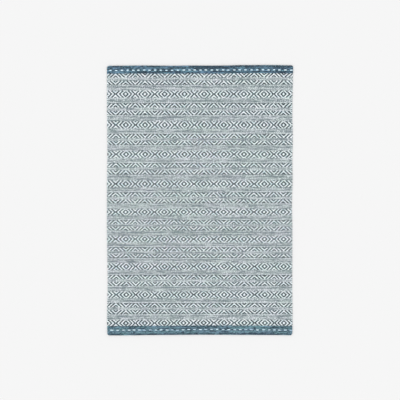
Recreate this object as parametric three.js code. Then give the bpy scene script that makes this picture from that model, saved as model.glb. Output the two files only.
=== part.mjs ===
// Dhurrie rug: one hand-loomed wool cloth that lies flat, with low ribs where the pattern bands are
// woven and a thicker turned hem at each end. X runs across the rug, Y along it and Z up.
import * as THREE from "three";

// Driving dimensions, in millimetres.
const WIDTH = 1200;
const LENGTH = 1745;
const STRIPE_THICKNESS = 5.4; // the plain heathered stripes
const RIB_RISE = 0.6; // the twill bands stand this much over the stripes
const RIB_SLOPE = 4; // run of a rib's flank
const HEM_THICKNESS = 7.6; // two layers of the thinner end web
const TOP_HEM_DEPTH = 52;
const BOTTOM_HEM_DEPTH = 60;
const HEM_STEP = 5; // run over which a hem thins to the field
const CORNER_RADIUS = 15;
const COLUMNS = 10; // steps across the top of the cloth

// Half widths of the bands along Y.
const CHEVRON_HALF = 35.5;
const CHEVRON_GAP_HALF = 9.5; // the plain stripe in the middle of a chevron band
const DIAMOND_HALF = 22;

// Middle of the two pattern bands in each repeat, measured from the middle of the rug. The repeats
// close up from about 195 to 180 mm along the rug, as the weaver beat them.
const REPEATS = [
  { chevrons: 784.5, diamonds: 687 },
  { chevrons: 590, diamonds: 489 },
  { chevrons: 394, diamonds: 297 },
  { chevrons: 203.5, diamonds: 104 },
  { chevrons: 15.5, diamonds: -76.5 },
  { chevrons: -161, diamonds: -252 },
  { chevrons: -338.5, diamonds: -429 },
  { chevrons: -518.5, diamonds: -611 },
  { chevrons: -700.5, diamonds: -794.5 },
];

// How far each edge strays outwards from its straight line. at is the distance along that edge from
// the middle of the rug.
const LEFT_EDGE = [
  { at: -872, out: -1.5 },
  { at: -775, out: 0.5 },
  { at: -522, out: -3.5 },
  { at: -186, out: 1.5 },
  { at: 67, out: 1.5 },
  { at: 319, out: -1.5 },
  { at: 656, out: 1.5 },
  { at: 872, out: 1 },
];
const RIGHT_EDGE = [
  { at: -872, out: -1 },
  { at: -775, out: 0.5 },
  { at: -522, out: -1.5 },
  { at: -186, out: -0.5 },
  { at: -17, out: -3.5 },
  { at: 150, out: 1 },
  { at: 234, out: -1 },
  { at: 403, out: 2 },
  { at: 575, out: -1 },
  { at: 800, out: 2.5 },
  { at: 872, out: 5 },
];
const TOP_EDGE = [
  { at: -600, out: -2 },
  { at: -380, out: 0 },
  { at: -176, out: -1.5 },
  { at: -44, out: 0 },
  { at: 102, out: -1 },
  { at: 293, out: 2.5 },
  { at: 458, out: 3 },
  { at: 600, out: 1 },
];
const BOTTOM_EDGE = [
  { at: -600, out: 2.5 },
  { at: -507, out: 2.5 },
  { at: -296, out: 0 },
  { at: 125, out: -3 },
  { at: 328, out: -1.5 },
  { at: 490, out: -1 },
  { at: 600, out: 2 },
];

// Section of a long edge: how far each point lies inside the outline, and its share of the height.
const EDGE_PROFILE = [
  { inset: 1.6, height: 0 },
  { inset: 0, height: 0.35 },
  { inset: 0.3, height: 0.7 },
  { inset: 2.2, height: 1 },
];

// Fold of a hem: distance from the end of the rug, and the share of the thickness cut away above and
// below there.
const FOLD_PROFILE = [
  { depth: 0, cut: 0.32 },
  { depth: 0.8, cut: 0.12 },
  { depth: 2.6, cut: 0 },
];

// Value of an edge table at a distance, on a smooth step between its rows.
function strayAt(table, at) {
  const next = table.findIndex((row) => row.at >= at);
  if (next < 0) return table[table.length - 1].out;
  if (next === 0) return table[0].out;
  const before = table[next - 1];
  const after = table[next];
  const share = THREE.MathUtils.smoothstep(at, before.at, after.at);
  return THREE.MathUtils.lerp(before.out, after.out, share);
}

// How far a rounded corner draws the side in, at a distance from the end of the rug.
function cornerInset(depth) {
  if (depth >= CORNER_RADIUS) return 0;
  return CORNER_RADIUS - Math.sqrt(CORNER_RADIUS ** 2 - (CORNER_RADIUS - depth) ** 2);
}

// Stations of one hem, from the fold to the field. end is 1 for the top of the rug, -1 for the bottom.
function hemStations(hemDepth, end) {
  const corner = [5, 9, CORNER_RADIUS].map((depth) => ({ depth, cut: 0 }));
  const flat = { depth: hemDepth - HEM_STEP, cut: 0 };
  return [...FOLD_PROFILE, ...corner, flat].map(({ depth, cut }) => ({
    y: end * (LENGTH / 2 - depth),
    thickness: HEM_THICKNESS,
    cut,
    side: cornerInset(depth),
  }));
}

// Stations of one rib between two places along Y, from its upper foot to its lower one.
function ribStations(high, low) {
  const foot = { thickness: STRIPE_THICKNESS, cut: 0, side: 0 };
  const crest = { ...foot, thickness: STRIPE_THICKNESS + RIB_RISE };
  return [
    { ...foot, y: high },
    { ...crest, y: high - RIB_SLOPE },
    { ...crest, y: low + RIB_SLOPE },
    { ...foot, y: low },
  ];
}

// Every station along the rug, from its top end to its bottom end.
function stations() {
  const topField = LENGTH / 2 - TOP_HEM_DEPTH;
  const bottomField = -LENGTH / 2 + BOTTOM_HEM_DEPTH;
  const ribs = REPEATS.flatMap(({ chevrons, diamonds }) => [
    ...ribStations(chevrons + CHEVRON_HALF, chevrons + CHEVRON_GAP_HALF),
    ...ribStations(chevrons - CHEVRON_GAP_HALF, chevrons - CHEVRON_HALF),
    ...ribStations(diamonds + DIAMOND_HALF, diamonds - DIAMOND_HALF),
  ]);
  const field = { thickness: STRIPE_THICKNESS, cut: 0, side: 0 };
  const crest = { ...field, thickness: STRIPE_THICKNESS + RIB_RISE };
  return [
    ...hemStations(TOP_HEM_DEPTH, 1),
    { ...field, y: topField },
    ...ribs.filter(({ y }) => y > bottomField + 1),
    { ...crest, y: bottomField }, // the last diamond band runs into the hem
    ...hemStations(BOTTOM_HEM_DEPTH, -1).reverse(),
  ];
}

// A point of the cloth. across runs from -1 at the left edge to 1 at the right one, inset is measured
// inwards from that edge, and height is a share of the station's thickness.
function clothPoint(station, across, inset, height) {
  const edges = { left: strayAt(LEFT_EDGE, station.y), right: strayAt(RIGHT_EDGE, station.y) };
  const left = -WIDTH / 2 - edges.left + station.side + inset;
  const right = WIDTH / 2 + edges.right - station.side - inset;
  const x = THREE.MathUtils.lerp(left, right, (across + 1) / 2);
  const along = (2 * station.y) / LENGTH;
  const end = along > 0 ? strayAt(TOP_EDGE, x) : -strayAt(BOTTOM_EDGE, x);
  const share = Math.max(0, (Math.abs(along) - 0.8) / 0.2); // the ends stray, the middle keeps straight
  const z = station.thickness * (station.cut + height * (1 - 2 * station.cut));
  return new THREE.Vector3(x, station.y + end * share, z);
}

// Points over the top of one station, from its left lower edge to its right lower edge.
function overTop(station) {
  const side = (across) =>
    EDGE_PROFILE.map(({ inset, height }) => clothPoint(station, across, inset, height));
  const inset = EDGE_PROFILE[EDGE_PROFILE.length - 1].inset;
  const middle = Array.from({ length: COLUMNS - 1 }, (_, i) =>
    clothPoint(station, (2 * (i + 1)) / COLUMNS - 1, inset, 1),
  );
  return [...side(-1), ...middle, ...side(1).reverse()];
}

// Points across the underside of one station between its lower edges, from right to left.
function underside(station) {
  const inset = EDGE_PROFILE[0].inset;
  return Array.from({ length: COLUMNS - 1 }, (_, i) =>
    clothPoint(station, 1 - (2 * (i + 1)) / COLUMNS, inset, 0),
  );
}

// The cloth's closed surface: station to station over the top, fans and strips underneath, and a cap
// at each fold.
function clothGeometry() {
  const rows = stations();
  const folds = FOLD_PROFILE.length;
  const points = [];
  const faces = [];
  const add = (list) => list.map((point) => points.push(point) - 1);
  const quad = (a, b, c, d) => faces.push(a, b, c, a, c, d);
  const strip = (one, two) => {
    for (let i = 0; i + 1 < one.length; i += 1) quad(one[i], two[i], two[i + 1], one[i + 1]);
  };

  const tops = rows.map((station) => add(overTop(station)));
  for (let i = 0; i + 1 < rows.length; i += 1) strip(tops[i], tops[i + 1]);

  // Whole underside of a station: its right lower edge, the points between, its left lower edge.
  const bottomOf = (i) => [tops[i][tops[i].length - 1], ...add(underside(rows[i])), tops[i][0]];
  const first = rows.slice(0, folds).map((_, i) => bottomOf(i));
  const last = rows.slice(-folds).map((_, i) => bottomOf(rows.length - folds + i));
  for (const bottoms of [first, last]) {
    for (let i = 0; i + 1 < folds; i += 1) strip(bottoms[i], bottoms[i + 1]);
  }

  // Strips of the flat underside, with the two lower edges alone between the folds.
  const ends = tops.map((row) => [row[row.length - 1], row[0]]);
  for (let i = folds; i + 1 < rows.length - folds; i += 1) strip(ends[i], ends[i + 1]);
  const half = COLUMNS / 2;
  const fan = ([right, left], chain, order) => {
    for (let i = 0; i + 1 < chain.length; i += 1) {
      faces.push(...order(chain[i], chain[i + 1], i < half ? right : left));
    }
    faces.push(...order(chain[half], left, right));
  };
  fan(ends[folds], first[folds - 1], (a, b, c) => [a, c, b]);
  fan(ends[rows.length - folds - 1], last[0], (a, b, c) => [a, b, c]);

  // A cap closes each fold between its top points and its underside.
  const cap = (top, bottom, order) => {
    const low = [...bottom].reverse();
    const high = top.slice(EDGE_PROFILE.length - 1, 1 - EDGE_PROFILE.length);
    const sides = EDGE_PROFILE.length - 2;
    for (let i = 0; i + 1 < low.length; i += 1) {
      faces.push(...order(low[i], high[i], low[i + 1]), ...order(high[i], high[i + 1], low[i + 1]));
    }
    for (let i = 0; i < sides; i += 1) {
      faces.push(...order(top[0], top[i + 1], top[i + 2]));
      const from = top.length - 1;
      faces.push(...order(top[from], top[from - i - 2], top[from - i - 1]));
    }
  };
  cap(tops[0], first[0], (a, b, c) => [a, b, c]);
  cap(tops[rows.length - 1], last[folds - 1], (a, b, c) => [a, c, b]);

  const geometry = new THREE.BufferGeometry().setFromPoints(points);
  geometry.setIndex(faces);
  geometry.computeBoundingBox();
  const middle = geometry.boundingBox.getCenter(new THREE.Vector3());
  geometry.translate(-middle.x, -middle.y, 0);
  geometry.computeVertexNormals();
  return geometry;
}

const wool = new THREE.MeshStandardMaterial({ color: 0xacb6ba, roughness: 0.95, metalness: 0 });
const cloth = new THREE.Mesh(clothGeometry(), wool);
cloth.name = "dhurrie_cloth";

const rug = new THREE.Group();
rug.add(cloth);

export default rug;
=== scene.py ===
"""Dhurrie rug: the looks of a hand-loomed flat wool cloth with goose-eye bands, lying on a floor.

X runs across the rug, Y along it and Z up, and sizes are in metres unless a name says otherwise. The
weave is built as it is woven: each pick is a row of wool floats over a closed ground cloth, and loops of
the shuttles' yarn turn round both sides.
"""

import logging
import math
from collections.abc import Iterator, Mapping, Sequence
from dataclasses import dataclass, field, fields, replace
from enum import Enum
from functools import cached_property
from typing import Any, NamedTuple

import bpy
import numpy as np
from numpy.typing import NDArray
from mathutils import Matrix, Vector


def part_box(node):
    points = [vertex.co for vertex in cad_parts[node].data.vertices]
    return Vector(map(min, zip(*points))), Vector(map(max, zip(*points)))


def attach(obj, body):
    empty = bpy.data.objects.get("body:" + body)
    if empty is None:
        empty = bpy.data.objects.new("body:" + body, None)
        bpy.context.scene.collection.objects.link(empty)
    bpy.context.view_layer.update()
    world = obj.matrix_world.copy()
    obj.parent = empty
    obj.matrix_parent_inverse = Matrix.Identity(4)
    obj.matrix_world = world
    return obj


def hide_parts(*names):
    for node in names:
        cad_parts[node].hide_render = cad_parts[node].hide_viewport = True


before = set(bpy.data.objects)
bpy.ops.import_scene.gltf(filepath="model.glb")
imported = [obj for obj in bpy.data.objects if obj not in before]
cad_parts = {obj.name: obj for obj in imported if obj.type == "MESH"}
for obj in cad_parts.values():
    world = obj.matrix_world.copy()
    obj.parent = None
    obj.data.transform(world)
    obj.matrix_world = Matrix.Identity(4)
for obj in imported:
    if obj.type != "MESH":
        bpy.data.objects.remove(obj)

log = logging.getLogger("dhurrie")

Numbers = NDArray[np.float64]
Counts = NDArray[np.int64]
Choice = NDArray[np.bool_]
Colour = tuple[float, float, float]

MM = 0.001
UP = (0.0, 0.0, 1.0)
EVEN_HUE = 0.5
CLOTH_NODE = "dhurrie_cloth"

SCREEN_WHITE = 255
SRGB_FOOT_END = 0.04045
SRGB_FOOT_SLOPE = 12.92
SRGB_OFFSET = 0.055
SRGB_POWER = 2.4


def linear(colour: Colour) -> tuple[float, float, float, float]:
    """Turns a screen colour, 0 to 255 a channel, into the light values that a shader takes.

    Args:
        colour: Red, green and blue as they look on a screen.

    Returns:
        Red, green, blue and full alpha.
    """
    values = [c / SCREEN_WHITE for c in colour]
    light = [
        v / SRGB_FOOT_SLOPE if v <= SRGB_FOOT_END else ((v + SRGB_OFFSET) / (1 + SRGB_OFFSET)) ** SRGB_POWER
        for v in values
    ]
    return light[0], light[1], light[2], 1.0


def smooth(share: Numbers) -> Numbers:
    """Eases a share from 0 to 1, held at both ends."""
    held = np.clip(share, 0.0, 1.0)
    return held * held * (3 - 2 * held)


@dataclass(frozen=True)
class StrayLine:
    """How far a line of the rug strays from straight, in millimetres, on smooth steps between marks."""

    at: tuple[float, ...]
    out: tuple[float, ...]

    def stray(self, place: Numbers) -> Numbers:
        """Gives the stray at places along the line.

        Args:
            place: Distances along the line from the middle of the rug, in metres.

        Returns:
            The strays, in metres.
        """
        at, out = np.asarray(self.at) * MM, np.asarray(self.out) * MM
        after = np.clip(np.searchsorted(at, place), 1, len(at) - 1)
        share = smooth((place - at[after - 1]) / (at[after] - at[after - 1]))
        return out[after - 1] + share * (out[after] - out[after - 1])


@dataclass(frozen=True)
class Drift:
    """Smooth unevenness over the rug: seeded random values on a grid, eased between its corners.

    A stepped drift keeps one value from row to row, as each length of yarn does.
    """

    seed: int
    across: float
    along: float
    stepped: bool = False
    reach: float = 1.1
    spare_cells: int = 3

    def at(self, x: Numbers, y: Numbers) -> Numbers:
        """Reads the unevenness at points of the rug.

        Args:
            x: Places across the rug.
            y: Places along the rug, of the same shape.

        Returns:
            Values from -1 to 1.
        """
        columns = int(2 * self.reach / self.across) + self.spare_cells
        rows = int(2 * self.reach / self.along) + self.spare_cells
        grid = np.random.default_rng(self.seed).uniform(-1, 1, (rows, columns))
        u = (x + self.reach) / self.across
        v = (y + self.reach) / self.along
        column, row = np.floor(u).astype(int), np.floor(v).astype(int)
        right = smooth(u - column)
        up = np.zeros_like(right) if self.stepped else smooth(v - row)
        low = grid[row, column] * (1 - right) + grid[row, column + 1] * right
        high = grid[row + 1, column] * (1 - right) + grid[row + 1, column + 1] * right
        return low * (1 - up) + high * up


class End(Enum):
    """The two ends of the rug."""

    TOP = 1
    BOTTOM = -1


@dataclass(frozen=True)
class RugPlan:
    """The rug's sizes and outline: where a point of the straight cloth comes to lie."""

    width: float = 1.200
    length: float = 1.745
    stripe_thickness: float = 0.0054
    band_rise: float = 0.0006
    hem_thickness: float = 0.0076
    top_hem: float = 0.052
    bottom_hem: float = 0.060
    corner_radius: float = 0.015
    straight_share: float = 0.8
    left: StrayLine = StrayLine(
        at=(-872, -775, -522, -186, 67, 319, 656, 872), out=(-1.5, 0.5, -3.5, 1.5, 1.5, -1.5, 1.5, 1)
    )
    right: StrayLine = StrayLine(
        at=(-872, -775, -522, -186, -17, 150, 234, 403, 575, 800, 872),
        out=(-1, 0.5, -1.5, -0.5, -3.5, 1, -1, 2, -1, 2.5, 5),
    )
    top: StrayLine = StrayLine(
        at=(-600, -380, -176, -44, 102, 293, 458, 600), out=(-2, 0, -1.5, 0, -1, 2.5, 3, 1)
    )
    bottom: StrayLine = StrayLine(
        at=(-600, -507, -296, 125, 328, 490, 600), out=(2.5, 2.5, 0, -3, -1.5, -1, 2)
    )
    warp_at_head: StrayLine = StrayLine(
        at=(-600, -480, -352, -224, -96, 32, 160, 289, 417, 545, 600),
        out=(0, 2.6, -1.6, -2.3, -1.6, -3.2, -4.9, -3.2, -1.6, -3.2, 0),
    )
    warp_at_foot: StrayLine = StrayLine(
        at=(-600, -480, -352, -224, -96, 32, 160, 289, 417, 545, 600),
        out=(0, 3.2, -3.2, -5.2, -9, -6.5, -2.6, 0, 4.9, 0, 0),
    )
    head: float = 0.680
    foot: float = -0.650
    steps_across: int = 400
    steps_along: int = 800

    def hem(self, end: End) -> float:
        """How far the hem at an end reaches in."""
        return self.top_hem if end is End.TOP else self.bottom_hem

    def corner_inset(self, y: Numbers) -> Numbers:
        """How far the rounded corners draw the sides in at places along the rug."""
        short = np.clip(self.corner_radius - (self.length / 2 - np.abs(y)), 0, self.corner_radius)
        return self.corner_radius - np.sqrt(self.corner_radius**2 - short**2)

    def side(self, y: Numbers) -> tuple[Numbers, Numbers]:
        """Gives the sides of the straight cloth.

        Args:
            y: Places along it.

        Returns:
            X of its left side and of its right side there.
        """
        draw_in = self.corner_inset(y)
        left = -self.width / 2 - self.left.stray(y) + draw_in
        right = self.width / 2 + self.right.stray(y) - draw_in
        return left, right

    def end_shift(self, x: Numbers, y: Numbers) -> Numbers:
        """Gives how far the stray of the nearer end moves points along the rug.

        Args:
            x: Places across the rug.
            y: Places along the straight cloth.

        Returns:
            The shifts along Y, none in the straight middle of the rug.
        """
        along = 2 * y / self.length
        share = np.maximum(0, (np.abs(along) - self.straight_share) / (1 - self.straight_share))
        return share * np.where(along > 0, self.top.stray(x), -self.bottom.stray(x))

    @cached_property
    def shift(self) -> tuple[float, float]:
        """What carries the straight cloth's middle to where the modelled solid lies.

        Returns:
            The shift along X and along Y.
        """
        low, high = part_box(CLOTH_NODE)
        y = np.linspace(-self.length / 2, self.length / 2, self.steps_along)
        x = np.linspace(-self.width / 2, self.width / 2, self.steps_across)
        left, right = self.side(y)
        top = self.length / 2 + self.top.stray(x)
        bottom = -self.length / 2 - self.bottom.stray(x)
        middle = (left.min() + right.max()) / 2, (bottom.min() + top.max()) / 2
        return (low.x + high.x) / 2 - middle[0], (low.y + high.y) / 2 - middle[1]

    def lay(self, x: Numbers, y: Numbers) -> tuple[Numbers, Numbers]:
        """Lays points of the straight cloth where they are on the floor.

        Args:
            x: Places across the straight cloth, from minus to plus half its width.
            y: Places along it.

        Returns:
            X and Y in the frame that the solids use.
        """
        foot_share = np.clip((self.head - y) / (self.head - self.foot), 0, 1)
        at_head, at_foot = self.warp_at_head.stray(x), self.warp_at_foot.stray(x)
        warped = x + at_head + foot_share * (at_foot - at_head)
        left, right = self.side(y)
        laid_x = left + (right - left) * (warped / self.width + 0.5)
        return laid_x + self.shift[0], y + self.end_shift(laid_x, y) + self.shift[1]


class Band(Enum):
    """What a pick is woven as."""

    PLAIN = "plain"
    CHEVRON = "chevron"
    DIAMOND = "diamond"
    SHADOW = "shadow"
    GLEAM = "gleam"
    DUSK = "dusk"


class Yarn(Enum):
    """The wools on the shuttles."""

    HEATHER = 0
    WHITE = 1
    SLATE = 2


@dataclass(frozen=True)
class Repeat:
    """The middles of the two pattern bands of one repeat."""

    chevrons: float
    diamonds: float


@dataclass(frozen=True)
class Pick:
    """One visible pick of the field, from selvedge to selvedge."""

    y: float
    pitch: float
    band: Band
    step: int
    crest: float

    @property
    def slope(self) -> int:
        """1 where the twill spreads from the diamond columns, -1 towards them, 0 where it is plain."""
        slopes = {Band.DIAMOND: 1, Band.CHEVRON: -1, Band.SHADOW: -1}
        return slopes.get(self.band, 0)


@dataclass(frozen=True)
class Draft:
    """The weaver's chart: the threading of the warp ends and the order of the picks.

    The threading runs up for half a column and down again, and turns between two ends. Each twill pick
    floats over three ends and under two, one end on from the pick before it.
    """

    plan: RugPlan
    ends: int = 262
    column_ends: int = 28
    first_column: int = 26
    twill_repeat: int = 5
    white_ends: int = 3
    diamond_picks: int = 5
    chevron_from: int = 3
    shadow_at: int = 8
    gleam_to: int = 10
    dusk_to: int = 12
    picks_to_diamonds: float = 22.5
    picks_to_chevrons: float = 21.5
    head_pitch: float = 0.0043
    foot_pitch: float = 0.0041
    hem_pitch: float = 0.0034
    repeats: tuple[Repeat, ...] = (
        Repeat(0.7853, 0.6883),
        Repeat(0.5902, 0.4880),
        Repeat(0.3934, 0.2985),
        Repeat(0.2040, 0.1059),
        Repeat(0.0152, -0.0761),
        Repeat(-0.1612, -0.2512),
        Repeat(-0.3392, -0.4283),
        Repeat(-0.5193, -0.6112),
        Repeat(-0.7015, -0.7945),
    )

    @property
    def end_pitch(self) -> float:
        """Distance from one warp end to the next."""
        return self.plan.width / self.ends

    def across(self, end: Numbers) -> Numbers:
        """Place across the straight cloth of a count of ends from its left side."""
        return -self.plan.width / 2 + end * self.end_pitch

    def stretch(
        self, start: Numbers, stop: Numbers, y: Numbers, height: Numbers
    ) -> tuple[Numbers, Numbers, Numbers]:
        """Lays straight stretches of yarn on the rug.

        Args:
            start: The counts of ends at which they begin.
            stop: The counts of ends at which they end.
            y: Their places along the straight cloth.
            height: Their heights.

        Returns:
            Their middles, the unit vectors along them and their half lengths.
        """
        x0, y0 = self.plan.lay(self.across(start), y)
        x1, y1 = self.plan.lay(self.across(stop), y)
        span = np.stack([x1 - x0, y1 - y0, np.zeros_like(x0)], 1)
        long = np.linalg.norm(span, axis=1)
        centre = np.stack([(x0 + x1) / 2, (y0 + y1) / 2, height], 1)
        return centre, span / long[:, None], long / 2

    @cached_property
    def marks(self) -> tuple[Numbers, Numbers]:
        """The middles of the chevron and the diamond bands, in turn.

        A chevron band turns on a pick and a diamond band between two, so the counts are whole for the
        first and end in a half for the second.

        Returns:
            Their counts of picks from the first one, and their places along the rug.
        """
        counts, places = [], []
        count = 0.0
        for repeat in self.repeats:
            counts += [count, count + self.picks_to_diamonds]
            places += [repeat.chevrons, repeat.diamonds]
            count += self.picks_to_diamonds + self.picks_to_chevrons
        return np.array(counts), np.array(places)

    def place_of(self, count: Numbers) -> Numbers:
        """Gives where picks lie, carried on past the first and the last mark.

        Args:
            count: Counts of picks from the first chevron band's middle.

        Returns:
            Places along the rug.
        """
        counts, places = self.marks
        inside = np.interp(count, counts, places)
        above = np.minimum(count - counts[0], 0) * self.head_pitch
        below = np.maximum(count - counts[-1], 0) * self.foot_pitch
        return inside - above - below

    def band_of(self, count: float) -> tuple[Band, int]:
        """What a pick belongs to.

        Args:
            count: The pick's count from the first chevron band's middle.

        Returns:
            The band, and how many whole picks the pick lies from its middle.
        """
        counts, _ = self.marks
        from_diamonds = int(np.abs(counts[1::2] - count).min())
        from_chevrons = int(np.abs(counts[0::2] - count).min())
        if from_diamonds < self.diamond_picks:
            return Band.DIAMOND, from_diamonds
        if from_chevrons < self.chevron_from:
            return Band.PLAIN, from_chevrons
        for band, last in (
            (Band.CHEVRON, self.shadow_at - 1),
            (Band.SHADOW, self.shadow_at),
            (Band.GLEAM, self.gleam_to),
            (Band.DUSK, self.dusk_to),
        ):
            if from_chevrons <= last:
                return band, from_chevrons
        return Band.PLAIN, from_chevrons

    @cached_property
    def picks(self) -> list[Pick]:
        """Every pick of the field.

        Returns:
            The picks from the top hem to the bottom one.
        """
        counts, places = self.marks
        top = self.plan.length / 2 - self.plan.top_hem
        bottom = self.plan.bottom_hem - self.plan.length / 2
        first = -round((top - places[0]) / self.head_pitch)
        last = counts[-1] + math.ceil((places[-1] - bottom) / self.foot_pitch)
        woven = np.arange(first, last)
        made = []
        for count, y, edge in zip(woven, self.place_of(woven), self.place_of(woven + 0.5)):
            band, step = self.band_of(float(count))
            if count == first and band is Band.SHADOW:
                band = Band.CHEVRON  # no dark line is woven against the hem
            rise = self.plan.band_rise if band in (Band.CHEVRON, Band.DIAMOND) else 0.0
            crest = self.plan.stripe_thickness + rise
            made.append(Pick(float(y), float(2 * (y - edge)), band, step, crest))
        return made

    def lifts(self, pick: Pick, ends: Counts) -> Choice:
        """Where the first shuttle's yarn shows on a twill pick.

        Args:
            pick: A pick of a chevron or a diamond band.
            ends: Warp ends, counted from the left side.

        Returns:
            True where the white wool is on top.
        """
        half = self.column_ends / 2
        turn = np.floor(np.abs((ends + 0.5 - self.first_column + half) % self.column_ends - half))
        chart = turn + pick.slope * (pick.step + 0.5) + 0.5
        return np.mod(chart, self.twill_repeat) < self.white_ends


def new_object(name: str, data: bpy.types.ID) -> bpy.types.Object:
    """Makes an object and links it to the scene.

    Args:
        name: The object's name.
        data: Its mesh, camera or lamp.

    Returns:
        The new object.
    """
    made = bpy.data.objects.new(name, data)
    bpy.context.scene.collection.objects.link(made)
    return made


def flat_map(points: Numbers) -> Numbers:
    """Map coordinates that look straight down on a mesh and fill the unit square."""
    low, high = points[:, :2].min(0), points[:, :2].max(0)
    return (points[:, :2] - low) / (high - low)


def skin_faces(rings: int, corners: int) -> Counts:
    """Joins rings of corners into a closed skin, with a closing point at each end.

    Args:
        rings: How many rings there are.
        corners: How many corners each ring has.

    Returns:
        Triangles as three corner numbers a row. The closing points are numbered after the rings.
    """
    here = np.arange(corners)
    there = (here + 1) % corners
    faces = []
    for ring in range(rings - 1):
        a, b = ring * corners + here, ring * corners + there
        c, d = b + corners, a + corners
        faces += [np.stack([a, b, c], 1), np.stack([a, c, d], 1)]
    last, closing = (rings - 1) * corners, rings * corners
    faces.append(np.stack([np.full(corners, closing), there, here], 1))
    faces.append(np.stack([np.full(corners, closing + 1), last + here, last + there], 1))
    return np.concatenate(faces)


def make_mesh(
    name: str,
    points: Numbers,
    triangles: Counts,
    attributes: Mapping[str, Numbers],
    material: bpy.types.Material,
    bake_map: Numbers | None = None,
) -> bpy.types.Object:
    """Makes a smooth shaded mesh object.

    Args:
        name: The piece's name.
        points: Vertices, one row each.
        triangles: Three vertex numbers a row, turning left seen from outside.
        attributes: Values of each vertex, by name.
        material: What it is made of.
        bake_map: Map coordinates of each vertex, or None for a plan view.

    Returns:
        The new object, linked to the scene.
    """
    mesh = bpy.data.meshes.new(name)
    mesh.vertices.add(len(points))
    mesh.vertices.foreach_set("co", points.astype(np.float32).ravel())
    mesh.loops.add(triangles.size)
    mesh.loops.foreach_set("vertex_index", triangles.astype(np.int32).ravel())
    mesh.polygons.add(len(triangles))
    mesh.polygons.foreach_set("loop_start", np.arange(0, triangles.size, 3, dtype=np.int32))
    mesh.polygons.foreach_set("use_smooth", np.ones(len(triangles), bool))
    mesh.update(calc_edges=True)
    layout = (flat_map(points) if bake_map is None else bake_map)[triangles.ravel()]
    mesh.uv_layers.new(name="OFBake").uv.foreach_set("vector", layout.astype(np.float32).ravel())
    for label, values in attributes.items():
        mesh.attributes.new(label, "FLOAT", "POINT").data.foreach_set("value", values.astype(np.float32))
    mesh.materials.append(material)
    return new_object(name, mesh)


@dataclass
class ClosedShapes:
    """A mesh in the making: many small closed shapes, each with its own tone and hue."""

    points: list[Numbers] = field(default_factory=list)
    faces: list[Counts] = field(default_factory=list)
    tones: list[Numbers] = field(default_factory=list)
    hues: list[Numbers] = field(default_factory=list)
    count: int = 0

    def add(self, points: Numbers, faces: Counts, tone: Numbers, hue: Numbers) -> None:
        """Adds copies of one shape.

        Args:
            points: Corners of each copy, shaped copies by corners by 3.
            faces: Triangles of one copy, as corner numbers.
            tone: Light or dark of each copy.
            hue: Hue of each copy.
        """
        copies, corners = points.shape[:2]
        starts = self.count + corners * np.arange(copies)
        self.points.append(points.reshape(-1, 3))
        self.faces.append((faces[None, :, :] + starts[:, None, None]).reshape(-1, 3))
        self.tones.append(np.repeat(tone, corners))
        self.hues.append(np.repeat(hue, corners))
        self.count += copies * corners

    def make(self, name: str, material: bpy.types.Material) -> bpy.types.Object:
        """Makes the object, smooth shaded.

        Args:
            name: The piece's name.
            material: What it is made of.

        Returns:
            The new object, linked to the scene.
        """
        attributes = {"tone": np.concatenate(self.tones), "hue": np.concatenate(self.hues)}
        return make_mesh(name, np.concatenate(self.points), np.concatenate(self.faces), attributes, material)


@dataclass(frozen=True)
class Floats:
    """Yarn floats, one row of each array to a float.

    Their crests, the unit vectors along the yarn and away from the cloth, their half lengths and half
    widths, and their tones and hues.
    """

    centre: Numbers
    along: Numbers
    up: Numbers
    half: Numbers
    wide: Numbers
    tone: Numbers
    hue: Numbers

    def only(self, chosen: Choice) -> "Floats":
        """The floats that are chosen."""
        return Floats(*(getattr(self, array.name)[chosen] for array in fields(self)))


@dataclass(frozen=True)
class FloatShape:
    """The form of one yarn float: a rounded bead with pointed ends that dive under the warp."""

    shoulder: float = 0.56
    depth: float = 0.0013
    dive: float = 0.0010
    overlap: float = 0.00035
    fullness: float = 0.56

    @property
    def faces(self) -> Counts:
        """Triangles of a float.

        Returns:
            Those of a tip, of two three-cornered sections and of a tip, as corner numbers.
        """
        first_cap = [(0, 1, 2), (0, 2, 3), (0, 3, 1)]
        sides = [(1, 4, 5), (1, 5, 2), (2, 5, 6), (2, 6, 3), (3, 6, 4), (3, 4, 1)]
        last_cap = [(7, 5, 4), (7, 6, 5), (7, 4, 6)]
        return np.array(first_cap + sides + last_cap)

    def corners(self, floats: Floats) -> Numbers:
        """Gives the corners of floats.

        Args:
            floats: The floats.

        Returns:
            Corners, shaped floats by 8 by 3.
        """
        side = floats.wide[:, None] * np.cross(floats.up, floats.along)
        reach = (floats.half + self.overlap)[:, None] * floats.along
        tip = floats.centre - self.dive * floats.up
        sections = []
        for end in (-1, 1):
            crest = floats.centre + end * self.shoulder * reach
            foot = crest - self.depth * floats.up
            sections.append([foot - side, crest, foot + side])
        return np.stack([tip - reach, *sections[0], *sections[1], tip + reach], axis=1)

    def add(self, floats: Floats, shapes: ClosedShapes) -> None:
        """Adds floats of this form to a mesh in the making."""
        shapes.add(self.corners(floats), self.faces, floats.tone, floats.hue)


@dataclass(frozen=True)
class HandOfYarn:
    """How unevenly the yarn was spun and beaten in."""

    seed: int = 11
    height: float = 0.00012
    width_share: float = 0.07
    sideways: float = 0.00018
    yaw: float = 0.02

    def loosen(self, floats: Floats) -> Floats:
        """Gives floats their small unevenness.

        Args:
            floats: Evenly laid floats.

        Returns:
            The same floats, uneven.
        """
        count = len(floats.half)
        random = np.random.default_rng(self.seed)
        side = np.cross(floats.up, floats.along)
        centre = floats.centre + random.normal(0, self.height, (count, 1)) * floats.up
        centre = centre + random.normal(0, self.sideways, (count, 1)) * side
        along = floats.along + random.normal(0, self.yaw, (count, 1)) * side
        along /= np.linalg.norm(along, axis=1, keepdims=True)
        wide = floats.wide * (1 + random.normal(0, self.width_share, count))
        return replace(floats, centre=centre, along=along, wide=wide)


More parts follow.
